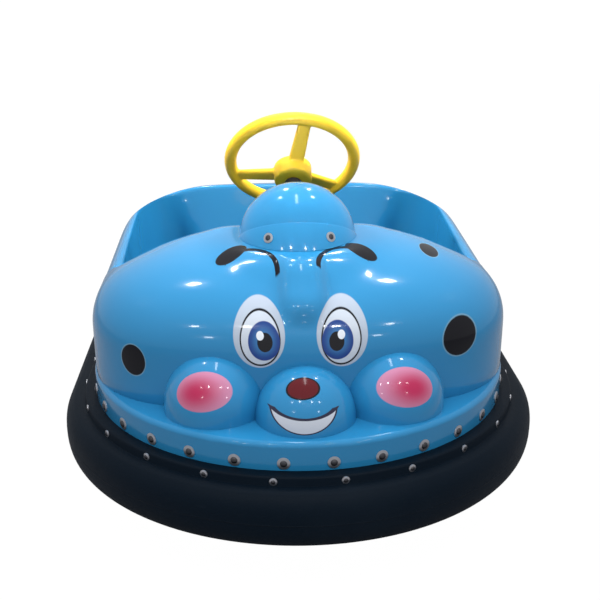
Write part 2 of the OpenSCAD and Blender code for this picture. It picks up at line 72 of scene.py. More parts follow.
class Value:
    """A shader socket that takes part in sums."""

    def __init__(self, graph, socket):
        self.graph = graph
        self.socket = socket

    def maths(self, operation, *values):
        return self.graph.maths(operation, *values)

    def __add__(self, other):
        return self.maths("ADD", self, other)

    def __radd__(self, other):
        return self.maths("ADD", other, self)

    def __sub__(self, other):
        return self.maths("SUBTRACT", self, other)

    def __rsub__(self, other):
        return self.maths("SUBTRACT", other, self)

    def __mul__(self, other):
        return self.maths("MULTIPLY", self, other)

    def __truediv__(self, other):
        return self.maths("DIVIDE", self, other)

    def __abs__(self):
        return self.maths("ABSOLUTE", self)

    def sqrt(self):
        return self.maths("SQRT", self)

    def least(self, other):
        return self.maths("MINIMUM", self, other)

    def rise(self, low, high, first=0.0, last=1.0):
        """First below low, last above high, and smooth between; falls where low is the greater."""
        return self.graph.node("ShaderNodeMapRange", {"Value": self, "From Min": low, "From Max": high,
                                                      "To Min": first, "To Max": last},
                               interpolation_type="SMOOTHSTEP")

    def either(self, off, on):
        """One of two values, by a value that is 0 or 1."""
        return self.graph.node("ShaderNodeMapRange", {"Value": self, "To Min": off, "To Max": on})


class Graph:
    """A tree of shader nodes under construction."""

    def __init__(self, tree):
        self.tree = tree

    def node(self, kind, sockets=None, output=0, **settings):
        made = self.tree.nodes.new(kind)
        for name, setting in settings.items():
            setattr(made, name, setting)
        for name, value in (sockets or {}).items():
            self.feed(made.inputs[name], value)
        return Value(self, made.outputs[output])

    def feed(self, socket, value):
        if isinstance(value, Value):
            self.tree.links.new(value.socket, socket)
        elif isinstance(value, tuple) and len(value) == 3 and socket.type == "RGBA":
            socket.default_value = (*value, 1)
        else:
            socket.default_value = value

    def maths(self, operation, *values):
        return self.node("ShaderNodeMath", dict(enumerate(values)), operation=operation)


class Shader(Graph):
    """A material under construction."""

    def __init__(self, name):
        self.material = bpy.data.materials.new(name)
        self.material.use_nodes = True
        super().__init__(self.material.node_tree)
        self.surface = self.tree.nodes["Principled BSDF"]
        self.place = self.node("ShaderNodeTexCoord", output="Object")

    def axis(self, letter):
        """One coordinate of the place as a value."""
        return self.node("ShaderNodeSeparateXYZ", {"Vector": self.place}, letter)

    def axes(self):
        return [self.axis(letter) for letter in "XYZ"]

    def mix(self, factor, first, second):
        return self.node("ShaderNodeMix", {0: factor, 6: first, 7: second}, 2, data_type="RGBA")

    def noise(self, scale, detail=3.0, stretch=None):
        source = self.place
        if stretch:
            source = self.node("ShaderNodeVectorMath", {0: source, 1: stretch}, operation="MULTIPLY")
        return self.node("ShaderNodeTexNoise", {"Vector": source, "Scale": scale, "Detail": detail}, "Fac")

    def bump(self, height, depth):
        """Feeds a height, as a share of a depth in metres, to the surface's normal."""
        self.feed(self.surface.inputs["Normal"],
                  self.node("ShaderNodeBump", {"Height": height, "Distance": depth}))

    def finish(self, **sockets):
        for name, value in sockets.items():
            self.feed(self.surface.inputs[name.replace("_", " ").title()], value)
        return self.material


def oval(x, z, middle, half, turn=0.0):
    """Distance from the middle of an oval, 1 at its edge."""
    dx = x - middle[0]
    dz = z - middle[1]
    c = math.cos(turn)
    s = math.sin(turn)
    along = (dx * c + dz * s) / half[0]
    across = (dz * c - dx * s) / half[1]
    return (along * along + across * across).sqrt()


# Finishes

spot_black = (0.004, 0.004, 0.007)
gelcoat_dark = (0.020, 0.232, 0.480)
gelcoat_light = (0.025, 0.252, 0.515)
gelcoat_coat = 0.6
print_coat = 0.15


def gelcoat(name):
    """Blue gelcoat under a clear gloss: faint waviness and fine scuffs."""
    s = Shader(name)
    tone = s.mix(s.noise(3.0, 2.0), gelcoat_dark, gelcoat_light)
    scuff = s.noise(60, 6, stretch=(1, 1, 4)).rise(0.62, 0.8) * s.noise(4, 2).rise(0.5, 0.7)
    s.bump(s.noise(5, 1.0), 0.0005)
    return s, tone, scuff


def finish_gelcoat(s, colour, scuff, matt=None):
    """Clear gloss all over, thinner on dark print."""
    s.surface.inputs["Coat Roughness"].default_value = 0.025
    s.surface.inputs["Specular IOR Level"].default_value = 0.25
    coat = gelcoat_coat
    if matt is not None:
        coat = matt.least(1.0) * (print_coat - gelcoat_coat) + gelcoat_coat
    return s.finish(base_color=colour, roughness=0.16 + scuff * 0.18, coat_weight=coat)


def plain_gelcoat():
    s, tone, scuff = gelcoat("blue_gelcoat")
    return finish_gelcoat(s, tone, scuff)


def rubber(name, colour, dust, roughness=0.62):
    s = Shader(name)
    s.surface.inputs["Specular IOR Level"].default_value = 0.3
    grain = s.noise(420, 3)
    worn = s.noise(9, 5).rise(0.5, 0.75)
    low = s.axis("Z").rise(0.3, 0.1)
    s.bump(grain * 0.5 + s.noise(45, 4) * 0.5, 0.0009)
    return s.finish(base_color=s.mix(worn * 0.5 + low * 0.25, colour, dust),
                    roughness=roughness + grain * 0.16 - worn * 0.1)


parting_z = 0.208


def ring_rubber():
    """Moulded rubber: fine grain, a parting line round the bulge and a butt joint on each side."""
    s = Shader("ring_rubber")
    x, y, z = s.axes()
    grain = s.noise(380, 3)
    bloom = s.noise(5, 5).rise(0.46, 0.74)
    scuff = s.noise(30, 6, stretch=(1, 1, 5)).rise(0.60, 0.72) * z.rise(0.265, 0.235)
    parting = abs(z - parting_z).rise(0.0016, 0.0004) * (x * x + y * y).rise(0.20, 0.22)
    joint = abs(y).rise(0.0014, 0.0004)
    s.bump(grain * 0.35 + s.noise(55, 4) * 0.4 + parting * 0.9 - joint * 2.0 - scuff * 0.3, 0.0009)
    s.surface.inputs["Specular IOR Level"].default_value = 0.12
    tone = s.mix(bloom * 0.7 + scuff * 0.5, (0.0008, 0.0056, 0.0125), (0.0042, 0.0100, 0.0180))
    return s.finish(base_color=s.mix(joint, tone, (0.001, 0.001, 0.002)),
                    roughness=0.46 + grain * 0.12 + bloom * 0.1 + scuff * 0.12)


def ribbed_mat():
    s = Shader("mat_rubber")
    rib = s.maths("SINE", s.axis("X") * 570.0).rise(-0.2, 0.5)
    worn = s.noise(7, 5).rise(0.5, 0.75)
    s.bump(rib + s.noise(260, 3) * 0.2, 0.0014)
    return s.finish(base_color=s.mix(worn * 0.6 * rib, (0.012, 0.012, 0.013), (0.05, 0.048, 0.045)),
                    roughness=0.72 - worn * 0.12)


def painted(name, colour, chips, roughness=0.38):
    s = Shader(name)
    worn = s.noise(38, 7).rise(0.66, 0.72)
    dull = s.noise(6, 4)
    s.bump(s.noise(240, 3) * 0.4 - worn * 0.6, 0.0005)
    paint = s.mix(dull, colour, tuple(channel * 1.25 for channel in colour))
    return s.finish(base_color=s.mix(worn, paint, chips), roughness=roughness + dull * 0.14,
                    metallic=worn * 0.7)


def turned_steel(name, colour=(0.58, 0.58, 0.6)):
    s = Shader(name)
    streak = s.noise(140, 4, stretch=(0.25, 1, 1))
    stain = s.noise(22, 5).rise(0.55, 0.8)
    s.bump(streak, 0.0002)
    return s.finish(base_color=s.mix(stain * 0.6, colour, (0.3, 0.27, 0.24)),
                    metallic=0.95 - stain * 0.25, roughness=0.24 + streak * 0.16 + stain * 0.2)


def yellow_plastic():
    s = Shader("yellow_plastic")
    grime = s.noise(12, 5).rise(0.52, 0.78)
    s.bump(s.noise(90, 3), 0.0004)
    s.surface.inputs["Coat Weight"].default_value = 0.15
    return s.finish(base_color=s.mix(grime * 0.25, (0.95, 0.60, 0.03), (0.72, 0.40, 0.02)),
                    roughness=0.33 + grime * 0.15)


def vinyl():
    s = Shader("seat_vinyl")
    cells = s.node("ShaderNodeTexVoronoi", {"Vector": s.place, "Scale": 520.0}, "Distance",
                   feature="DISTANCE_TO_EDGE")
    grain = cells.rise(0.0, 0.16)
    rub = s.noise(8, 4).rise(0.5, 0.72)
    s.bump(grain * 0.7 + s.noise(30, 3) * 0.3, 0.0006)
    return s.finish(base_color=s.mix(rub, (0.018, 0.018, 0.021), (0.035, 0.034, 0.036)),
                    roughness=0.46 - grain * 0.06 + rub * 0.1)


blue_finish = plain_gelcoat()
ring_finish = ring_rubber()
tyre_finish = rubber("wheel_tyre", (0.014, 0.014, 0.014), (0.05, 0.048, 0.045), 0.74)
mat_finish = ribbed_mat()
black_finish = painted("black_paint", (0.02, 0.02, 0.022), (0.25, 0.22, 0.2))
grey_finish = painted("grey_paint", (0.16, 0.165, 0.175), (0.4, 0.37, 0.34), 0.45)
steel_finish = turned_steel("bare_steel")
bolt_finish = turned_steel("bolt_steel", (0.62, 0.62, 0.65))
dome_finish = turned_steel("dome_steel", (0.10, 0.10, 0.11))
yellow_finish = yellow_plastic()
vinyl_finish = vinyl()
piping_finish = painted("piping_vinyl", (0.016, 0.016, 0.018), (0.05, 0.05, 0.05), 0.5)
case_finish = painted("battery_case", (0.03, 0.03, 0.034), (0.06, 0.06, 0.065), 0.5)

# Artwork: plain shapes on the face, each oval as its middle and half size

face_shift = 0.008
eye_white = ((0.087, 0.523), (0.054, 0.066))
eye_ring = ((0.085, 0.515), (0.040, 0.051))
eye_iris = ((0.077, 0.511), (0.033, 0.038))
eye_pupil = ((0.075, 0.510), (0.016, 0.019))
eye_glint = ((0.085, 0.523), (0.008, 0.009))
brow_arch = ((0.116, -0.420), (0.072, 0.098))
brow_leaf = ((0.145, -0.326), (0.041, 0.026))
brow_leaf_turn = -0.75
front_spots = (((-0.367, 0.449), (0.027, 0.035)), ((0.338, 0.492), (0.039, 0.041)))
top_spot = ((0.303, -0.250), (0.021, 0.044))
spot_rim = (0.16, 0.34, 0.48)
cheek_patch = (0.217, -0.605, 0.435)
cheek_deep = (0.232, -0.607, 0.432)
cheek_shift = 0.004
cheek_across = 0.76
cheek_upright = 1.9
nose_place = (-0.622, 0.443)
nose_slope = (0.831, 0.554)
nose_half = (0.032, 0.025)
mouth_bowl = ((0, 0.408), (0.068, 0.046))
mouth_lid = ((0, 0.414), (0.070, 0.022))
mouth_line = (0.02, 0.02, 0.05)


def painted_over(s, colour, layers):
    """Lays opaque shapes over a colour, each as (mask, tone)."""
    for mask, tone in layers:
        colour = s.mix(mask, colour, tone)
    return colour


def face_gelcoat():
    """Bonnet: plain oval eyes, curved bars above them and round black spots on the gelcoat."""
    s, tone, scuff = gelcoat("bonnet_gelcoat")
    x, y, z = s.axes()
    front = y.rise(-0.28, -0.34)
    side_x = abs(x + face_shift)
    white, ring, iris, pupil, glint = [
        oval(side_x, z, *place) for place in (eye_white, eye_ring, eye_iris, eye_pupil, eye_glint)]
    iris_tone = s.mix(iris.rise(0.2, 1.0), (0.045, 0.22, 0.48), (0.012, 0.05, 0.24))
    layers = [(front * white.rise(1.02, 0.98), (0.46, 0.53, 0.63)),
              (front * ring.rise(1.09, 1.05), spot_black),
              (front * ring.rise(1.01, 0.97), (0.60, 0.66, 0.74)),
              (front * iris.rise(1.03, 0.98), iris_tone),
              (front * pupil.rise(1.05, 0.96), spot_black),
              (front * glint.rise(1.05, 0.92), (0.85, 0.9, 0.95))]
    arch = abs(oval(side_x, y, *brow_arch) - 1.0)
    width = 0.07 + side_x.rise(0.105, 0.160) * 0.11
    bar = (arch / width).rise(1.04, 0.96) * y.rise(-0.428, -0.420) * side_x.rise(0.160, 0.156)
    leaf = oval(side_x, y, *brow_leaf, brow_leaf_turn).rise(1.03, 0.97)
    matt = bar + leaf
    layers += [(bar, spot_black), (leaf, spot_black)]
    on_front = y.rise(-0.2, -0.24)
    spots = [(oval(x, z, *place), on_front) for place in front_spots]
    spots.append((oval(x, y, *top_spot), z.rise(0.56, 0.58)))
    for reach, region in spots:
        round_spot = reach.rise(1.03, 0.97) * region
        layers += [(reach.rise(1.09, 1.04) * region, spot_rim), (round_spot, spot_black)]
        matt = matt + round_spot
    return finish_gelcoat(s, painted_over(s, tone, layers), scuff, matt)


def cheek_gelcoat():
    """Pink round patch on each cheek, deeper on its outer side."""
    s, tone, scuff = gelcoat("cheek_gelcoat")
    x, y, z = s.axes()

    def away(px, py, pz):
        dx = abs(x + cheek_shift) - px
        dy = y - py
        dz = z - pz
        return (dx * dx * cheek_across + (dy * dy + dz * dz) * cheek_upright).sqrt()

    pink = s.mix(away(*cheek_deep).rise(0.014, 0.076), (0.50, 0.018, 0.092), (0.60, 0.25, 0.40))
    layers = [(away(*cheek_patch).rise(0.064, 0.061), pink)]
    return finish_gelcoat(s, painted_over(s, tone, layers), scuff)


def muzzle_gelcoat():
    """A dark red oval nose and a plain pale crescent for the mouth."""
    s, tone, scuff = gelcoat("muzzle_gelcoat")
    x, y, z = s.axes()
    nose_x = x + face_shift
    up = (y - nose_place[0]) * nose_slope[0] + (z - nose_place[1]) * nose_slope[1]
    nose = oval(nose_x, up, (0, 0), nose_half)
    bowl = oval(nose_x, z, *mouth_bowl)
    lid = oval(nose_x, z, *mouth_lid)
    below = z.rise(0.4075, 0.4060)
    crescent = bowl.rise(1.01, 0.97) * lid.rise(0.98, 1.02) * below
    line = abs(lid - 1.0).rise(0.13, 0.09) * below * bowl.rise(1.10, 1.06)
    edge = abs(bowl - 1.0).rise(0.035, 0.02) * lid.rise(0.98, 1.02) * below
    layers = [(nose.rise(1.13, 1.07), spot_black),
              (nose.rise(1.01, 0.95), (0.11, 0.006, 0.010)),
              (crescent, (0.60, 0.64, 0.72)),
              (line, mouth_line),
              (edge, mouth_line)]
    return finish_gelcoat(s, painted_over(s, tone, layers), scuff, nose.rise(1.1, 1.0) * 0.7)


bonnet_finish = face_gelcoat()
cheek_finish = cheek_gelcoat()
muzzle_finish = muzzle_gelcoat()


def dress(name, material):
    """Gives a CAD node a finish."""
    data = nodes[name].data
    data.materials.clear()
    data.materials.append(material)


for names, material in (
        (("skirt_deck", "footwell", "seat_base", "steering_cowl", "rear_shell"), blue_finish),
        (("bonnet",), bonnet_finish),
        (("cheek_left", "cheek_right"), cheek_finish),
        (("muzzle",), muzzle_finish),
        (("bumper_tyre",), ring_finish),
        (("drive_tyre", "rear_tyre_left", "rear_tyre_right"), tyre_finish),
        (("floor_mat",), mat_finish),
        (("column_tube", "pedal", "chassis_frame", "drive_mount", "drive_motor", "rear_axle_left",
          "rear_axle_right"), black_finish),
        (("bumper_band", "floor_pan", "battery_tray", "drive_fork"), grey_finish),
        (("steering_shaft", "drive_hub", "rear_hub_left", "rear_hub_right"), steel_finish),
        (("steering_wheel",), yellow_finish),
        (("seat_cushion",), vinyl_finish),
        (("battery_left", "battery_right"), case_finish)):
    for name in names:
        dress(name, material)

# Modelling helpers


def alone(piece):
    """Leaves one object selected and active."""
    bpy.ops.object.select_all(action="DESELECT")
    piece.select_set(True)
    bpy.context.view_layer.objects.active = piece


def primitive(kind, name, **settings):
    bpy.ops.object.select_all(action="DESELECT")
    getattr(bpy.ops.mesh, f"primitive_{kind}_add")(**settings)
    bpy.context.object.name = name
    return bpy.context.object


def editing(piece):
    alone(piece)
    bpy.ops.object.mode_set(mode="EDIT")
    bpy.ops.mesh.select_mode(type="FACE")
    bpy.ops.mesh.select_all(action="DESELECT")


def done():
    bpy.ops.object.mode_set(mode="OBJECT")


def pick(piece, test):
    """In edit mode, selects the faces whose middle and normal pass a test."""
    bpy.ops.mesh.select_all(action="DESELECT")
    mesh = bmesh.from_edit_mesh(piece.data)
    for face in mesh.faces:
        face.select_set(bool(test(face.calc_center_median(), face.normal)))
    bmesh.update_edit_mesh(piece.data)


def rise_faces(height):
    bpy.ops.mesh.extrude_region_move(TRANSFORM_OT_translate={"value": (0, 0, height)})


def step_in(width, height):
    """Insets the picked faces and lifts what is inside."""
    bpy.ops.mesh.inset(thickness=width)
    bpy.ops.transform.translate(value=(0, 0, height))


def modify(piece, kind, **settings):
    alone(piece)
    modifier = piece.modifiers.new(kind.lower(), kind)
    for key, value in settings.items():
        setattr(modifier, key, value)
    bpy.ops.object.modifier_apply(modifier=modifier.name)


def smooth_shaded(piece, angle):
    alone(piece)
    bpy.ops.object.shade_smooth_by_angle(angle=math.radians(angle))


def placed(direction, place):
    """Matrix that turns +Z to a direction and moves the origin to a place."""
    swing = Vector((0, 0, 1)).rotation_difference(Vector(direction)).to_matrix().to_4x4()
    return Matrix.Translation(place) @ swing


def joined(pieces, name):
    bpy.ops.object.select_all(action="DESELECT")
    for piece in pieces:
        piece.select_set(True)
    bpy.context.view_layer.objects.active = pieces[0]
    bpy.ops.object.join()
    pieces[0].name = name
    return pieces[0]


def spread(master, name, matrices):
    """One piece of copies of a master, each with its own mesh; the master goes."""
    copies = []
    for matrix in matrices:
        mesh = master.data.copy()
        mesh.transform(matrix)
        copy = bpy.data.objects.new(name, mesh)
        bpy.context.scene.collection.objects.link(copy)
        copies.append(copy)
    bpy.data.objects.remove(master)
    return joined(copies, name)


def attach(piece, body, slot, material, *replaced):
    """Hands a finished piece over: its body, finish and the CAD nodes it stands for; slot is not used."""
    piece.data.materials.clear()
    piece.data.materials.append(material)
    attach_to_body(piece, body)
    if replaced:
        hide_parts(*replaced)


def copy_of(node, name):
    """A copy of a CAD node with its loose triangles merged."""
    piece = bpy.data.objects.new(name, nodes[node].data.copy())
    bpy.context.scene.collection.objects.link(piece)
    editing(piece)
    bpy.ops.mesh.select_all(action="SELECT")
    bpy.ops.mesh.remove_doubles(threshold=0.00004)
    done()
    return piece


# Places round the skirt, and in the frame of the steering wheel

skirt_radius = 0.490
straight_half = 0.203
wheel_middle = (0, 0.070, 0.761)
column_lean = math.radians(51.6)
spoke_turn = math.radians(11)
cowl_middle = Vector((0, -0.200, 0.635))
cowl_lean = math.radians(31)
cowl_collar_r = 0.141
cowl_dome_r = 0.134

steering_axis = Matrix.Translation(wheel_middle) @ Matrix.Rotation(-column_lean, 4, "X")
cowl_axis = Matrix.Translation(cowl_middle) @ Matrix.Rotation(-cowl_lean, 4, "X")


def round_skirt(count, offset, z):
    """Even places round the skirt line, a gap at the nose, each turned outward."""
    bend = math.pi * skirt_radius
    straight = 2 * straight_half
    places = []
    for k in range(count):
        s = (k + 0.5) / count * 2 * (bend + straight) + bend / 2
        lap = s % (bend + straight)
        turned = int(s // (bend + straight)) % 2
        if lap < bend:
            angle = lap / skirt_radius
            out = Vector((math.cos(angle), -math.sin(angle), 0))
            middle = Vector((0, -straight_half, 0))
        else:
            out = Vector((-1, 0, 0))
            middle = Vector((0, -straight_half + lap - bend, 0))
        sign = -1 if turned else 1
        spot = (middle + out * (skirt_radius + offset)) * sign
        places.append(placed(out * sign, spot + Vector((0, 0, z))))
    return places


# Body shells: subdivided copies of the faceted lofts, their free edges kept and rounded


def smooth_shell(node, name):
    piece = copy_of(node, name)
    editing(piece)
    bpy.ops.mesh.select_all(action="SELECT")
    bpy.ops.mesh.tris_convert_to_quads(face_threshold=math.radians(50),
                                       shape_threshold=math.radians(90))
    bpy.ops.mesh.select_mode(type="EDGE")
    bpy.ops.mesh.select_all(action="DESELECT")
    bpy.ops.mesh.edges_select_sharp(sharpness=math.radians(55))
    bpy.ops.transform.edge_crease(value=1)
    done()
    modify(piece, "SUBSURF", levels=1, render_levels=1)
    modify(piece, "BEVEL", width=0.0016, segments=2, limit_method="ANGLE",
           angle_limit=math.radians(55))
    smooth_shaded(piece, 50)
    return piece


def smooth_copy(node, name, edge):
    """A CAD node's own form with merged faces and soft shading, its edges rounded or kept."""
    piece = copy_of(node, name)
    if edge:
        editing(piece)
        bpy.ops.mesh.select_all(action="SELECT")
        bpy.ops.mesh.dissolve_limited(angle_limit=math.radians(0.3))
        done()
        modify(piece, "BEVEL", width=edge, segments=2, limit_method="ANGLE",
               angle_limit=math.radians(50))
    smooth_shaded(piece, 34)
    if not edge:
        modify(piece, "WEIGHTED_NORMAL", keep_sharp=True, weight=50)
    return piece


for node, name, material in (("bonnet", "bonnet_moulding", bonnet_finish),
                             ("rear_shell", "rear_moulding", blue_finish)):
    attach(smooth_shell(node, name), "chassis", "blue_gelcoat", material, node)
for node, name, edge in (("skirt_deck", "skirt_moulding", 0),
                         ("footwell", "footwell_moulding", 0.002),
                         ("seat_base", "bench_moulding", 0.003)):
    attach(smooth_copy(node, name, edge), "chassis", "blue_gelcoat", blue_finish, node)

# Corners between the well's front wall and the underside of the bonnet

well_front_y = -0.186
corner_path = ((0.397, 0.3545), (0.327, 0.500), (0.080, 0.559))
fan_x = 0.10


def well_corner(name, side):
    """Closes the corner: a strip from the front wall's edge out to the bonnet."""
    steps = 12
    shell = nodes["bonnet"].data
    underside = BVHTree.FromPolygons([vertex.co for vertex in shell.vertices],
                                     [face.vertices for face in shell.polygons])
    piece = primitive("grid", name, x_subdivisions=2 * steps, y_subdivisions=1, size=1)
    near, far = (sorted((v for v in piece.data.vertices if v.co.y * end > 0), key=lambda v: v.co.x)
                 for end in (-1, 1))
    for k, (first, last) in enumerate(zip(near, far)):
        part = min(k // steps, 1)
        share = k / steps - part
        x, z = (a + (b - a) * share for a, b in zip(corner_path[part], corner_path[part + 1]))
        start = Vector((side * x, well_front_y, z))
        way = Vector((side * (x - fan_x), 0, z - corner_path[0][1])).normalized()
        first.co = start
        last.co = underside.ray_cast(start, way)[0] - way * 0.001
    modify(piece, "SOLIDIFY", thickness=0.004, offset=0)
    modify(piece, "BEVEL", width=0.0006, segments=1)
    editing(piece)
    bpy.ops.mesh.select_all(action="SELECT")
    bpy.ops.mesh.normals_make_consistent(inside=False)
    done()
    smooth_shaded(piece, 30)
    return piece


for name, side in (("well_corner_left", 1), ("well_corner_right", -1)):
    attach(well_corner(name, side), "chassis", "blue_gelcoat", blue_finish)

# Rubber ring: its section, spun round both ends and joined along the sides

lip_top_z = 0.2907
ring_low_z = 0.140
ring_high_z = 0.276
ring_out = 0.0778
bulge_in = 0.020
groove_z = lip_top_z - 0.020


def ring_section():
    """Points of the section, as distance out from the skirt line and height, outside first."""
    middle_z = (ring_low_z + ring_high_z) / 2
    half = (ring_out - bulge_in, (ring_high_z - ring_low_z) / 2)
    points = [(-0.007, lip_top_z), (0.022, lip_top_z), (0.0245, lip_top_z - 0.0006),
              (0.0265, lip_top_z - 0.0022), (0.0272, lip_top_z - 0.0045), (0.0289, groove_z + 0.0025),
              (0.0298, groove_z + 0.0006), (0.0318, groove_z), (0.0340, groove_z)]
    for angle in range(60, -91, -5):
        c = math.cos(math.radians(angle))
        s = math.sin(math.radians(angle))
        points.append((bulge_in + half[0] * abs(c) ** 0.8,
                       middle_z + half[1] * math.copysign(abs(s) ** 0.8, s)))
    return points + [(-0.007, ring_low_z)]


def rubber_ring():
    section = ring_section()
    piece = primitive("circle", "bumper_ring", vertices=len(section), radius=0.01)
    for vertex, (out, z) in zip(piece.data.vertices, section):
        vertex.co = (skirt_radius + out, -straight_half, z)
    editing(piece)
    bpy.ops.mesh.select_mode(type="VERT")
    bpy.ops.mesh.select_all(action="SELECT")
    bpy.ops.mesh.spin(steps=96, angle=math.pi, center=(0, -straight_half, 0), axis=(0, 0, 1))
    mesh = bmesh.from_edit_mesh(piece.data)
    for vertex in mesh.verts:
        vertex.select_set(abs(vertex.co.y + straight_half) < 0.0001)
    mesh.select_flush(True)
    bmesh.update_edit_mesh(piece.data)
    bpy.ops.mesh.select_mode(type="EDGE")
    for step in range(3):
        bpy.ops.mesh.extrude_edges_move(
            TRANSFORM_OT_translate={"value": (0, straight_half / 3, 0)})
    done()
    modify(piece, "MIRROR", use_axis=(False, True, False), merge_threshold=0.0003)
    editing(piece)
    bpy.ops.mesh.select_all(action="SELECT")
    bpy.ops.mesh.remove_doubles(threshold=0.00005)
    bpy.ops.mesh.normals_make_consistent(inside=False)
    done()
    smooth_shaded(piece, 42)
    return piece


attach(rubber_ring(), "chassis", "ring_rubber", ring_finish, "bumper_tyre")

# Face domes and cowl: fine spheres cut as the CAD cuts them

ledge_z = 0.3533
bonnet_front_y = -0.550
front_radius = 0.960
foot_sink = 0.0003
wall_sink = 0.0064
dome_table = (  # name, node, x, y, radius, upright foot, finish
    ("cheek_dome_left", "cheek_left", 0.193, -0.512, 0.110, 0.015, cheek_finish),
    ("cheek_dome_right", "cheek_right", -0.193, -0.512, 0.110, 0.015, cheek_finish),
    ("muzzle_dome", "muzzle", 0.0, -0.563, 0.109, 0.0, muzzle_finish))


def cut(piece, place, normal):
    """Takes away what lies in front of a plane."""
    editing(piece)
    bpy.ops.mesh.select_all(action="SELECT")
    bpy.ops.mesh.bisect(plane_co=place, plane_no=normal, clear_outer=True)
    done()


def face_dome(name, x, y, radius, foot):
    """A dome on an upright foot, cut off inside the thickness of the bonnet's front wall."""
    piece = primitive("uv_sphere", name, segments=96, ring_count=48, radius=radius)
    cut(piece, (0, 0, 0), (0, 0, -1))
    if foot:
        piece.data.transform(Matrix.Translation((0, 0, foot)))
    editing(piece)
    bpy.ops.mesh.select_mode(type="EDGE")
    bpy.ops.mesh.select_non_manifold()
    bpy.ops.mesh.extrude_edges_move(TRANSFORM_OT_translate={"value": (0, 0, -foot - foot_sink)})
    done()
    piece.data.transform(Matrix.Translation((x, y, ledge_z)))
    centre_y = bonnet_front_y + front_radius
    out = Vector((x, -math.sqrt(front_radius ** 2 - x * x), 0)).normalized()
    wall = Vector((0, centre_y, 0)) + out * (front_radius - wall_sink)
    cut(piece, wall, -out)
    smooth_shaded(piece, 60)
    return piece


for name, node, x, y, radius, foot, material in dome_table:
    attach(face_dome(name, x, y, radius, foot), "chassis", "blue_gelcoat", material, node)

bonnet_z = 0.650
bonnet_edge_y = -0.130
cowl_drop = 0.060
fuller = 1.025
flare_share = 0.55
skin = 0.007
seam = 0.0003


def cowl():
    """A dome that steps out to a collar and is cut where the bonnet begins."""
    piece = primitive("uv_sphere", "cowl_moulding", segments=128, ring_count=64, radius=cowl_dome_r)
    cut(piece, (0, 0, 0), (0, 0, -1))
    piece.data.transform(Matrix.Diagonal((fuller, fuller, 1 / fuller, 1)))
    editing(piece)
    bpy.ops.mesh.select_mode(type="EDGE")
    bpy.ops.mesh.select_non_manifold()
    step = cowl_collar_r / cowl_dome_r / fuller
    flare = 1 + (step - 1) * flare_share
    for grow, drop in ((flare, 0.0), (step / flare, -0.003), (1, -0.24)):
        bpy.ops.mesh.extrude_edges_move(TRANSFORM_OT_translate={"value": (0, 0, drop)})
        bpy.ops.transform.resize(value=(grow, grow, 1))
    done()
    modify(piece, "SOLIDIFY", thickness=skin, offset=-1)
    piece.data.transform(cowl_axis)
    for low, high in (((-0.5, -1.0, 0.2), (0.5, bonnet_edge_y + seam, bonnet_z + seam)),
                      ((-0.5, -1.0, 0.1), (0.5, 1.0, bonnet_z - cowl_drop))):
        block = primitive("cube", "cutter", size=1)
        block.data.transform(Matrix.Translation([(a + b) / 2 for a, b in zip(low, high)])
                             @ Matrix.Diagonal([b - a for a, b in zip(low, high)] + [1]))
        modify(piece, "BOOLEAN", operation="DIFFERENCE", object=block, solver="EXACT")
        bpy.data.objects.remove(block)
    smooth_shaded(piece, 32)
    return piece


attach(cowl(), "chassis", "blue_gelcoat", blue_finish, "steering_cowl")

# Bolts: a dome head on a broad washer, and a hexagon head on a small one

dome_share = 0.56
collar_bolt_angles = (-29.5, 29.5)
collar_bolt_drop = 0.030


def flat_washer(radius):
    piece = primitive("cylinder", "washer", vertices=20, radius=radius, depth=0.0022,
                      location=(0, 0, 0.0008))
    editing(piece)
    pick(piece, lambda middle, normal: normal.z > 0.9)
    step_in(radius * 0.14, 0.0006)
    done()
    smooth_shaded(piece, 35)
    return piece


def dome_bolt(radius):
    piece = primitive("cylinder", "bolt", vertices=16, radius=radius, depth=0.002,
                      location=(0, 0, 0.003))
    editing(piece)
    pick(piece, lambda middle, normal: normal.z > 0.9)
    rise_faces(radius * 0.16)
    for width, height in ((0.18, 0.22), (0.24, 0.14), (0.28, 0.05)):
        step_in(radius * width, radius * height)
    done()
    smooth_shaded(piece, 35)
    return piece


def dome_bolts(name, radius, matrices):
    """A dark dome head on a bright washer at each place."""
    for master, part, material in ((flat_washer(radius), name + "_washers", bolt_finish),
                                   (dome_bolt(radius * dome_share), name, dome_finish)):
        attach(spread(master, part, matrices), "chassis", "bare_steel", material)


def hex_bolt(radius, washer):
    piece = primitive("cylinder", "washer", vertices=18, radius=radius * washer, depth=0.0018,
                      location=(0, 0, 0.0007))
    head = primitive("cylinder", "head", vertices=6, radius=radius, depth=radius * 0.75,
                     location=(0, 0, 0.0014 + radius * 0.375))
    modify(head, "BEVEL", width=radius * 0.1, segments=1)
    piece = joined([piece, head], "bolt")
    smooth_shaded(piece, 30)
    return piece


def hex_bolts(name, body, radius, matrices, washer=1.5):
    attach(spread(hex_bolt(radius, washer), name, matrices), body, "bare_steel", bolt_finish)


for name, radius, count, offset, z in (("skirt_bolts", 0.0135, 38, 0.0002, 0.308),
                                       ("lip_bolts", 0.0084, 28, 0.0279, 0.2805)):
    dome_bolts(name, radius, round_skirt(count, offset, z))
collar_bolts = []
for angle in collar_bolt_angles:
    side = math.radians(angle)
    out = Vector((math.sin(side), -math.cos(side), 0))
    place = cowl_axis @ (out * cowl_collar_r + Vector((0, 0, -collar_bolt_drop)))
    collar_bolts.append(placed(cowl_axis.to_3x3() @ out, place))
dome_bolts("collar_bolts", 0.0115, collar_bolts)

# Steering wheel: rim, hub and three tapered spokes flow into one moulding

wheel_r = 0.157
dish = 0.042
rim_r = 0.0155
hub_r = 0.0475
hub_depth = 0.042
spoke_size = (0.136, 0.040, 0.016)
spoke_taper = (0.78, 0.85)
spoke_middle_r = 0.088
nut_seat = 0.0195


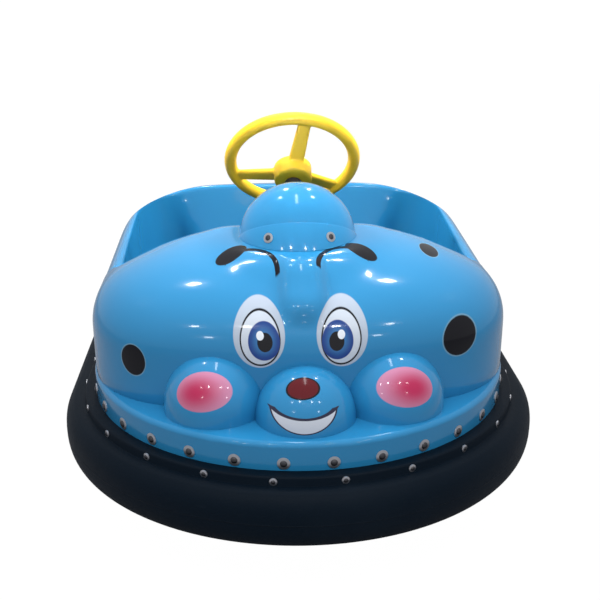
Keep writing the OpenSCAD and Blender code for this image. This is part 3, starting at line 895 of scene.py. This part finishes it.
def steering_wheel():
    slope = math.atan(dish / wheel_r)
    rim = primitive("torus", "rim", major_segments=72, minor_segments=20, major_radius=wheel_r,
                    minor_radius=rim_r)
    hub = primitive("cylinder", "hub", vertices=48, radius=hub_r, depth=hub_depth,
                    location=(0, 0, -dish))
    editing(hub)
    pick(hub, lambda middle, normal: normal.z > 0.9)
    step_in(0.006, 0.002)
    step_in(0.010, -0.0035)
    pick(hub, lambda middle, normal: normal.z < -0.9)
    step_in(0.008, -0.002)
    done()
    parts = [rim, hub]
    for k in range(3):
        spoke = primitive("cube", "spoke", size=1)
        spoke.data.transform(Matrix.Diagonal((*spoke_size, 1)))
        for corner in spoke.data.vertices:
            if corner.co.x > 0:
                corner.co.y *= spoke_taper[0]
                corner.co.z *= spoke_taper[1]
        modify(spoke, "BEVEL", width=0.005, segments=3)
        spoke.data.transform(Matrix.Rotation(math.radians(-90 + 120 * k), 4, "Z")
                             @ Matrix.Translation((0, 0, -dish))
                             @ Matrix.Rotation(-slope, 4, "Y")
                             @ Matrix.Translation((spoke_middle_r, 0, 0)))
        parts.append(spoke)
    piece = joined(parts, "steering_wheel_moulding")
    modify(piece, "REMESH", mode="VOXEL", voxel_size=0.0022)
    modify(piece, "SMOOTH", factor=0.5, iterations=7)
    piece.data.transform(steering_axis @ Matrix.Rotation(spoke_turn, 4, "Z"))
    smooth_shaded(piece, 60)
    return piece


attach(steering_wheel(), "steering", "yellow_plastic", yellow_finish, "steering_wheel")

# Seat cushion: blown up by a cloth simulation between its sewn edges

piping_r = 0.0038
pad_shrink = (0.992, 0.982, 0.90)
seam_rise = 0.044
seam_inset = 0.010
edge_share = 0.95
sim_frames = range(1, 21)
foot_rise = 0.006
middle_seam = 0.006
swell_top = 0.014
swell_side = 0.005


def cushion():
    low, high = (Vector(corner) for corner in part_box("seat_cushion"))
    middle = (low + high) / 2
    piece = copy_of("seat_cushion", "bench_pad")
    foot = Vector((middle.x, middle.y, low.z))
    piece.data.transform(Matrix.Translation(foot) @ Matrix.Diagonal((*pad_shrink, 1))
                         @ Matrix.Translation(-foot))
    modify(piece, "REMESH", mode="VOXEL", voxel_size=0.007)
    start = [v.co.copy() for v in piece.data.vertices]
    sewn = piece.vertex_groups.new(name="sewn")
    seam_z = low.z + seam_rise
    held = [v.index for v in piece.data.vertices
            if v.co.z < low.z + foot_rise or abs(v.co.x) < middle_seam
            or (abs(v.co.z - seam_z) < 0.004
                and max(abs(v.co.x - middle.x) / (high.x - middle.x),
                        abs(v.co.y - middle.y) / (high.y - middle.y)) > edge_share)]
    sewn.add(held, 1.0, "REPLACE")
    alone(piece)
    cloth = piece.modifiers.new("cloth", "CLOTH")
    cloth.settings.vertex_group_mass = "sewn"
    cloth.settings.use_pressure = True
    cloth.settings.uniform_pressure_force = 4.0
    cloth.settings.effector_weights.gravity = 0
    cloth.settings.quality = 6
    for frame_number in sim_frames:
        bpy.context.scene.frame_set(frame_number)
    bpy.ops.object.modifier_apply(modifier="cloth")
    bpy.context.scene.frame_set(1)
    for vertex, rest in zip(piece.data.vertices, start):
        move = vertex.co - rest
        most = swell_top if vertex.co.z > seam_z else swell_side
        if move.length > most:
            vertex.co = rest + move * (most / move.length)
    modify(piece, "SMOOTH", factor=0.5, iterations=3)
    modify(piece, "SUBSURF", levels=1, render_levels=1)
    smooth_shaded(piece, 60)
    return piece


def piping(pad, name, z):
    """A piped seam round the pad, laid onto its surface."""
    low, high = (Vector(corner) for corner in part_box("seat_cushion"))
    middle = (low + high) / 2
    size = high - low
    wire = primitive("plane", name, size=1)
    wire.data.transform(Matrix.Translation((middle.x, middle.y, z))
                        @ Matrix.Diagonal((size.x - seam_inset, size.y - seam_inset, 1, 1)))
    editing(wire)
    bpy.ops.mesh.select_all(action="SELECT")
    bpy.ops.mesh.bevel(offset=0.030, segments=6, affect="VERTICES")
    bpy.ops.mesh.delete(type="ONLY_FACE")
    bpy.ops.mesh.select_mode(type="EDGE")
    bpy.ops.mesh.select_all(action="SELECT")
    bpy.ops.mesh.subdivide(number_cuts=5)
    done()
    modify(wire, "SHRINKWRAP", target=pad, wrap_method="NEAREST_SURFACEPOINT",
           wrap_mode="ON_SURFACE")
    alone(wire)
    bpy.ops.object.convert(target="CURVE")
    curve = bpy.context.object
    curve.data.bevel_depth = piping_r
    curve.data.bevel_resolution = 2
    bpy.ops.object.convert(target="MESH")
    made = bpy.context.object
    smooth_shaded(made, 60)
    return made


bench_pad = cushion()
attach(bench_pad, "chassis", "seat_vinyl", vinyl_finish, "seat_cushion")
pad_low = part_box("seat_cushion")[0][2]
for name, height in (("bench_piping_upper", 0.047), ("bench_piping_lower", 0.010)):
    attach(piping(bench_pad, name, pad_low + height), "chassis", "seat_vinyl", piping_finish)

# Column: a rubber grommet where it leaves the cowl, and the nut that holds the wheel

axis_down = steering_axis.to_3x3() @ Vector((0, 0, -1))
grommet_r = 0.0238
grommet_stretch = 1.17


def grommet():
    reach = Vector(wheel_middle) - cowl_middle
    half = reach.dot(axis_down)
    run = -half - math.sqrt(half * half - reach.length_squared + cowl_dome_r ** 2)
    place = Vector(wheel_middle) + axis_down * run
    piece = primitive("torus", "column_grommet", major_segments=40, minor_segments=10,
                      major_radius=grommet_r, minor_radius=0.0046)
    piece.data.transform(placed((place - cowl_middle).normalized(), place)
                         @ Matrix.Diagonal((1, grommet_stretch, 1, 1)))
    smooth_shaded(piece, 60)
    return piece


attach(grommet(), "chassis", "ring_rubber", ring_finish)
hex_bolts("wheel_nut", "steering", 0.0135,
          [steering_axis @ Matrix.Translation((0, 0, nut_seat - dish))], 1.35)

# Wheels: grooved tyres, hub bolts and axle nuts

rear_wheel = (0.330, 0.420, 0.100)
drive_wheel = (0.0, -0.330, 0.110)
rear_hub_face_x = 0.3519
rear_axle_end_x = 0.3688
rear_bolt_circle = 0.038
drive_hub_face_x = 0.0259
drive_bolt_circle = 0.040
groove_width = 0.0045
groove_depth = 0.0035
rear_grooves = (-0.0085, 0.0085)
drive_grooves = (-0.014, 0.0, 0.014)


def grooved_tyre(node, name, middle_x, offsets):
    """The CAD tyre with grooves pressed into its tread."""
    piece = copy_of(node, name)
    low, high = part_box(node)
    tread_r = (high[2] - low[2]) / 2
    axle_z = (high[2] + low[2]) / 2
    axle_y = (high[1] + low[1]) / 2
    editing(piece)
    for offset in offsets:
        for side in (-0.5, 0.5):
            bpy.ops.mesh.select_all(action="SELECT")
            bpy.ops.mesh.bisect(plane_co=(middle_x + offset + side * groove_width, 0, 0),
                                plane_no=(1, 0, 0))
    pick(piece, lambda middle, normal: abs(normal.x) < 0.3
         and math.hypot(middle.y - axle_y, middle.z - axle_z) > tread_r - 0.004
         and min(abs(middle.x - middle_x - offset) for offset in offsets) < groove_width / 2)
    bpy.ops.mesh.extrude_region_shrink_fatten(TRANSFORM_OT_shrink_fatten={"value": -groove_depth})
    done()
    smooth_shaded(piece, 32)
    return piece


def on_circle(middle, axis_sign, x, radius, count):
    """Places for bolts round an axle that runs along X."""
    places = []
    for k in range(count):
        angle = 2 * math.pi * k / count
        place = (x, middle[1] + radius * math.sin(angle), middle[2] + radius * math.cos(angle))
        places.append(placed((axis_sign, 0, 0), place))
    return places


for side, word in ((1, "left"), (-1, "right")):
    body = f"rear_wheel_{word}"
    attach(grooved_tyre(f"rear_tyre_{word}", f"rear_tread_{word}", side * rear_wheel[0], rear_grooves),
           body, "wheel_tyre", tyre_finish, f"rear_tyre_{word}")
    hex_bolts(f"rear_hub_bolts_{word}", body, 0.0055,
              on_circle(rear_wheel, side, side * rear_hub_face_x, rear_bolt_circle, 5))
    hex_bolts(f"rear_axle_nut_{word}", "chassis", 0.011,
              [placed((side, 0, 0), (side * rear_axle_end_x, rear_wheel[1], rear_wheel[2]))], 1.2)
attach(grooved_tyre("drive_tyre", "drive_tread", 0.0, drive_grooves), "drive_wheel", "wheel_tyre",
       tyre_finish, "drive_tyre")
hex_bolts("drive_hub_bolts", "drive_wheel", 0.005,
          on_circle(drive_wheel, 1, drive_hub_face_x, drive_bolt_circle, 5)
          + on_circle(drive_wheel, -1, -drive_hub_face_x, drive_bolt_circle, 5))

# Drive motor: ribbed case, end cap with its bolts, and a terminal box

motor_start_x = 0.0483
motor_end_x = 0.1223
motor_r = 0.052
cap_face = 0.0047
cap_bolt_circle = 0.040
rib_size = (0.056, 0.0024, 0.0046)
rib_step = 15
terminal_size = (0.038, 0.032, 0.020)
terminal_x = 0.080


def motor_cap():
    piece = primitive("cylinder", "motor_cap", vertices=48, radius=0.047, depth=0.005,
                      location=(0, 0, 0.0024))
    modify(piece, "BEVEL", width=0.001, segments=2)
    editing(piece)
    pick(piece, lambda middle, normal: normal.z > 0.99)
    step_in(0.014, 0.0015)
    step_in(0.012, -0.001)
    done()
    piece.data.transform(placed((1, 0, 0), (motor_end_x, drive_wheel[1], drive_wheel[2])))
    smooth_shaded(piece, 35)
    return piece


def motor_ribs():
    """Ribs along the case, with a gap on top for the terminal box."""
    rib = primitive("cube", "rib", size=1)
    rib.data.transform(Matrix.Diagonal((*rib_size, 1)))
    modify(rib, "BEVEL", width=0.0007, segments=1)
    middle = ((motor_start_x + motor_end_x) / 2, drive_wheel[1], drive_wheel[2])
    return spread(rib, "motor_ribs",
                  [Matrix.Translation(middle) @ Matrix.Rotation(math.radians(angle), 4, "X")
                   @ Matrix.Translation((0, 0, motor_r + 0.001))
                   for angle in range(2 * rib_step, 360 - rib_step, rib_step)])


def terminal_box():
    piece = primitive("cube", "terminal_box", size=1)
    piece.data.transform(Matrix.Diagonal((*terminal_size, 1)))
    modify(piece, "BEVEL", width=0.003, segments=3)
    editing(piece)
    pick(piece, lambda middle, normal: normal.z > 0.99)
    step_in(0.002, 0.002)
    done()
    place = (terminal_x, drive_wheel[1], drive_wheel[2] + motor_r + 0.0085)
    piece.data.transform(Matrix.Translation(place))
    smooth_shaded(piece, 35)
    return piece


for piece in (motor_cap(), motor_ribs(), terminal_box()):
    attach(piece, "drive_unit", "black_paint", black_finish)
hex_bolts("motor_bolts", "drive_unit", 0.004,
          on_circle(drive_wheel, 1, motor_end_x + cap_face, cap_bolt_circle, 4))

# Chassis: bolts that hold the floor pan, seen from below

rail_x = 0.235
rail_bottom_z = 0.132
rail_bolt_y = (-0.115, 0.02, 0.15, 0.235)
cross_bolt_x = 0.10
cross_bolt_y = (-0.15, 0.27)
floor_places = [(side * rail_x, y) for side in (-1, 1) for y in rail_bolt_y]
floor_places += [(side * cross_bolt_x, y) for side in (-1, 1) for y in cross_bolt_y]
hex_bolts("floor_bolts", "chassis", 0.0075,
          [placed((0, 0, -1), (x, y, rail_bottom_z)) for x, y in floor_places])

# Pedal: ribs across its plate

pedal_middle = (-0.100, -0.114, 0.1896)
pedal_lean = math.radians(-58)
pedal_rib_size = (0.064, 0.005, 0.004)
pedal_rib_places = [y / 1000 for y in range(-92, 0, 14)]
pedal_plate = Matrix.Translation(pedal_middle) @ Matrix.Rotation(pedal_lean, 4, "X")


def pedal_ribs():
    rib = primitive("cube", "rib", size=1)
    rib.data.transform(Matrix.Diagonal((*pedal_rib_size, 1)))
    modify(rib, "BEVEL", width=0.0014, segments=2)
    return spread(rib, "pedal_ribs", [pedal_plate @ Matrix.Translation((0, y, 0.0105))
                                      for y in pedal_rib_places])


attach(pedal_ribs(), "chassis", "mat_rubber", mat_finish)

# Studio: a floor and a sky that look white to the camera, and many small lamps

floor_size = 14
white_share = 0.94


def studio_floor_finish():
    """Pale to the car, nearly plain white to the camera, and clear from below."""
    s = Shader("studio_floor")
    s.finish(base_color=(0.26, 0.26, 0.27), roughness=0.9)
    glow = s.node("ShaderNodeEmission", {"Strength": 1.06})
    seen = s.node("ShaderNodeLightPath", output="Is Camera Ray")
    paint = Value(s, s.surface.outputs[0])
    above = s.node("ShaderNodeMixShader", {0: seen * white_share, 1: paint, 2: glow})
    below = s.node("ShaderNodeBsdfTransparent")
    back_side = s.node("ShaderNodeNewGeometry", output="Backfacing")
    s.feed(s.tree.nodes["Material Output"].inputs["Surface"],
           s.node("ShaderNodeMixShader", {0: back_side, 1: above, 2: below}))
    return s.material


floor = primitive("plane", "studio_floor", size=floor_size)
floor.data.materials.append(studio_floor_finish())

# Soft sky: dim at the horizon and bright overhead, even where it is mirrored, white to the camera

world = bpy.data.worlds.new("studio")
bpy.context.scene.world = world
world.use_nodes = True
air = world.node_tree.nodes["Background"]
air.inputs["Color"].default_value = (0.95, 0.97, 1.0, 1)
sky = Graph(world.node_tree)
way = sky.node("ShaderNodeTexCoord", output="Generated")
height = sky.node("ShaderNodeSeparateXYZ", {"Vector": way}, "Z")
lit = height.rise(0.2, 0.95, 0.18, 1.48)
shine = sky.node("ShaderNodeMapRange", {"Value": height, "From Min": -0.1, "From Max": 1.0,
                                        "To Min": 0.5, "To Max": 0.55})
strength = sky.node("ShaderNodeLightPath", output="Is Glossy Ray").either(lit, shine)
strength = sky.node("ShaderNodeLightPath", output="Is Camera Ray").either(strength, 1.1)
sky.feed(air.inputs["Strength"], strength)
bpy.context.scene.view_settings.view_transform = "Standard"


def lamp(name, place, target, size, power, spread=180, shines=True):
    """A lamp that points at a target; one that doesn't shine leaves no highlight."""
    data = bpy.data.lights.new(name, "AREA")
    data.shape = "RECTANGLE"
    data.size, data.size_y = size
    data.energy = power
    data.spread = math.radians(spread)
    made = bpy.data.objects.new(name, data)
    bpy.context.scene.collection.objects.link(made)
    made.location = place
    made.rotation_euler = (Vector(place) - Vector(target)).to_track_quat("Z", "Y").to_euler()
    made.visible_glossy = shines


small = (0.16, 0.16)
for name, place, power in (("left", (-1.0, 1.0, 3.1), 4), ("left_far", (-0.8, -2.4, 3.1), 4),
                           ("right", (1.0, 0.9, 3.1), 4), ("right_far", (0.7, -2.5, 3.1), 4),
                           ("left_out", (-1.7, -2.2, 2.9), 2), ("right_out", (1.6, -2.3, 2.9), 2),
                           ("left_low", (-1.5, -2.9, 1.9), 1.3), ("right_low", (1.4, -3.0, 1.9), 1.3),
                           ("left_back", (-0.55, 2.6, 3.1), 7), ("right_back", (0.83, 2.6, 3.1), 7)):
    lamp(name, place, (0, -0.2, 0.4), small, power)
lamp("middle", (0.0, 0.35, 3.2), (0, -0.3, 0.5), (0.16, 1.2), 5)
lamp("back", (-0.6, 2.6, 2.2), (0, 0, 0.5), (1.0, 1.0), 12, shines=False)
lamp("front", (0, -2.4, 2.4), (0, -0.7, 0.3), (0.8, 0.8), 12, shines=False)
lamp("well_left", (1.3, 0.1, 1.9), (-0.45, 0.1, 0.52), (0.4, 0.4), 3.6, 50, shines=False)
lamp("well_right", (-1.3, 0.1, 1.9), (0.45, 0.1, 0.52), (0.4, 0.4), 3.2, 50, shines=False)
lamp("wheel", (0.1, -2.3, 1.0), (0, 0.07, 0.85), (0.3, 0.3), 0.2, 14)
